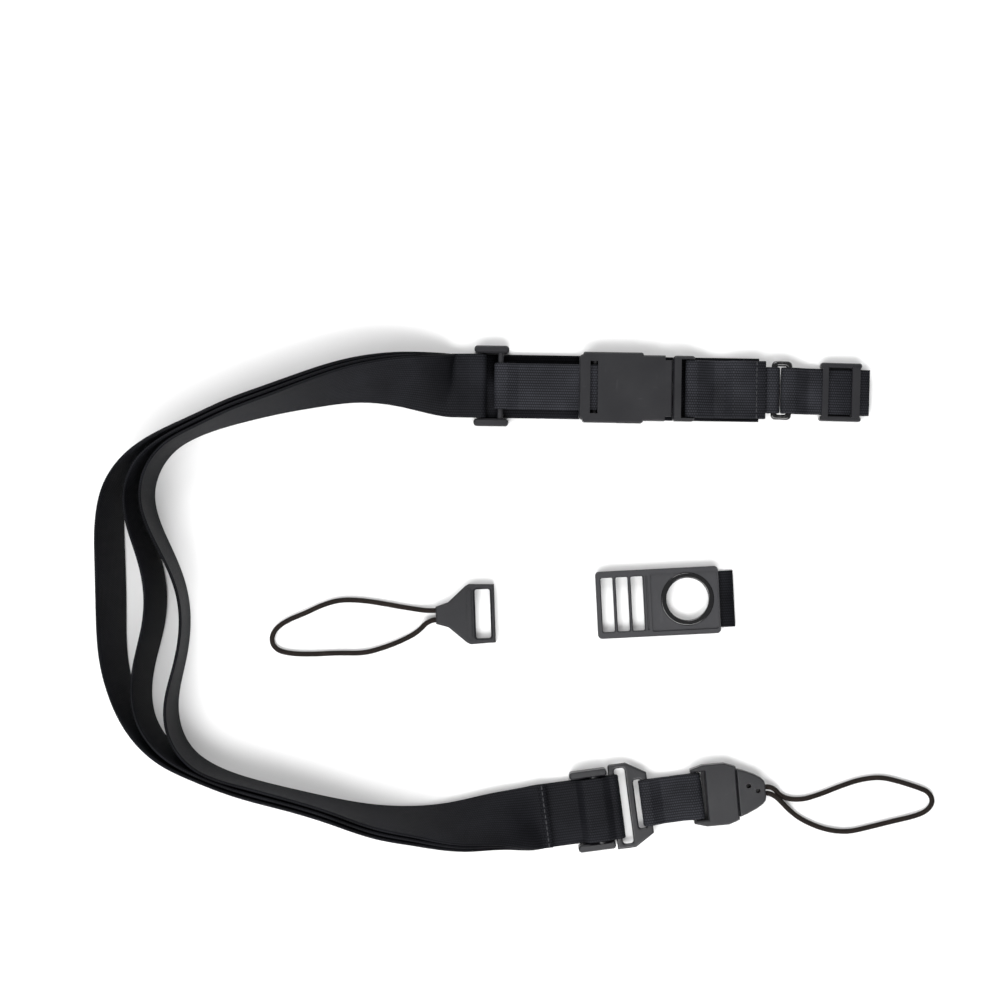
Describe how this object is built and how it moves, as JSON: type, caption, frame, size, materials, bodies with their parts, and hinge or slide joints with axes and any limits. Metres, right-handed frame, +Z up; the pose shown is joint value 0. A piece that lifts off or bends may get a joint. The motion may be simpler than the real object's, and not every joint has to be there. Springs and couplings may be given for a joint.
{
  "type": "instrument_carrying_strap",
  "caption": "Webbing carrying strap with sliders, side-release buckle, adapter ring and cord-loop quick release, plus a spare loop connector and a ladder plate with an eyelet.",
  "frame": {"origin": "centre of the box round the laid-out set without its cord loops, on the table", "axes": "+X runs from the strap's bend towards its buckle and connector ends, +Y from the connector arm towards the buckle arm, and +Z up from the table"},
  "size_m": [0.3327, 0.2017, 0.0256],
  "materials": {
    "webbing": "woven matt",
    "thread": "matt",
    "black_plastic": "satin",
    "grey_plastic": "satin",
    "dark_wire": "gloss",
    "cord": "braided"
  },
  "bodies": {
    "strap": {"outer_run": "webbing", "middle_run": "webbing", "inner_run": "webbing", "strap_tail": "webbing", "upper_turn": "webbing", "lower_turn": "webbing", "strap_hem": "webbing", "hem_stitches": "thread"},
    "upper_adjuster": {"upper_slider": "black_plastic", "buckle_strap": "webbing", "buckle_socket": "black_plastic"},
    "plug_half": {"buckle_plug": "black_plastic", "stitched_loop": "webbing", "loop_stitches": "thread", "ring_keeper": "webbing"},
    "latch_left": {"latch_arm_left": "black_plastic"},
    "latch_right": {"latch_arm_right": "black_plastic"},
    "terminal": {"rectangular_ring": "dark_wire", "terminal_strap": "webbing"},
    "terminal_adjuster": {"end_slider": "black_plastic"},
    "lower_adjuster": {"lower_slider": "black_plastic"},
    "adapter": {"adapter_ring": "black_plastic", "lower_strap": "webbing"},
    "connector": {"connector_socket": "black_plastic"},
    "cord_half": {"connector_nose": "grey_plastic", "lower_loop": "cord"},
    "spare": {"spare_connector": "black_plastic", "spare_loop": "cord"},
    "plate": {"ladder_plate": "black_plastic", "eyelet": "grey_plastic", "plate_tab": "webbing", "plate_pads": "webbing"}
  },
  "joints": [
    {"name": "upper_adjust", "type": "slide", "parent": "strap", "child": "upper_adjuster", "axis": [0.9999, -0.0157, 0], "range_m": [-0.0025, 0]},
    {"name": "buckle_release", "type": "slide", "parent": "upper_adjuster", "child": "plug_half", "axis": [0.9999, -0.0157, 0], "range_m": [0, 0.028]},
    {"name": "latch_left_pinch", "type": "hinge", "parent": "plug_half", "child": "latch_left", "pos_m": [0.07433, 0.0923, 0.006], "axis": [0, 0, 1], "range_deg": [0, 8], "stiffness_Nm_per_rad": 0.05},
    {"name": "latch_right_pinch", "type": "hinge", "parent": "plug_half", "child": "latch_right", "pos_m": [0.07406, 0.07511, 0.006], "axis": [0, 0, 1], "range_deg": [-8, 0], "stiffness_Nm_per_rad": 0.05},
    {"name": "terminal_tilt", "type": "hinge", "parent": "plug_half", "child": "terminal", "pos_m": [0.11429, 0.08307, 0.00495], "axis": [-0.0279, -0.9996, 0], "range_deg": [0, 75]},
    {"name": "terminal_adjust", "type": "slide", "parent": "terminal", "child": "terminal_adjuster", "axis": [0.9996, -0.0279, 0], "range_m": [-0.003, 0.003]},
    {"name": "lower_adjust", "type": "slide", "parent": "strap", "child": "lower_adjuster", "axis": [0.9914, 0.1305, 0], "range_m": [-0.002, 0]},
    {"name": "adapter_tilt", "type": "hinge", "parent": "strap", "child": "adapter", "pos_m": [0.05135, -0.08291, 0.0036], "axis": [0.1305, -0.9914, 0], "range_deg": [0, 20]},
    {"name": "connector_tilt", "type": "hinge", "parent": "adapter", "child": "connector", "pos_m": [0.08357, -0.07867, 0.0034], "axis": [0.1305, -0.9914, 0], "range_deg": [0, 32]},
    {"name": "connector_release", "type": "slide", "parent": "connector", "child": "cord_half", "axis": [0.9962, 0.0872, 0], "range_m": [0, 0.012]},
    {"name": "spare_lift", "type": "slide", "parent": "strap", "child": "spare", "axis": [0, 0, 1], "range_m": [0, 0.03]},
    {"name": "plate_lift", "type": "slide", "parent": "strap", "child": "plate", "axis": [0, 0, 1], "range_m": [0, 0.03]}
  ],
  "couplings": [
    {"joint": "latch_right_pinch", "follows": "latch_left_pinch", "ratio": -1}
  ]
}
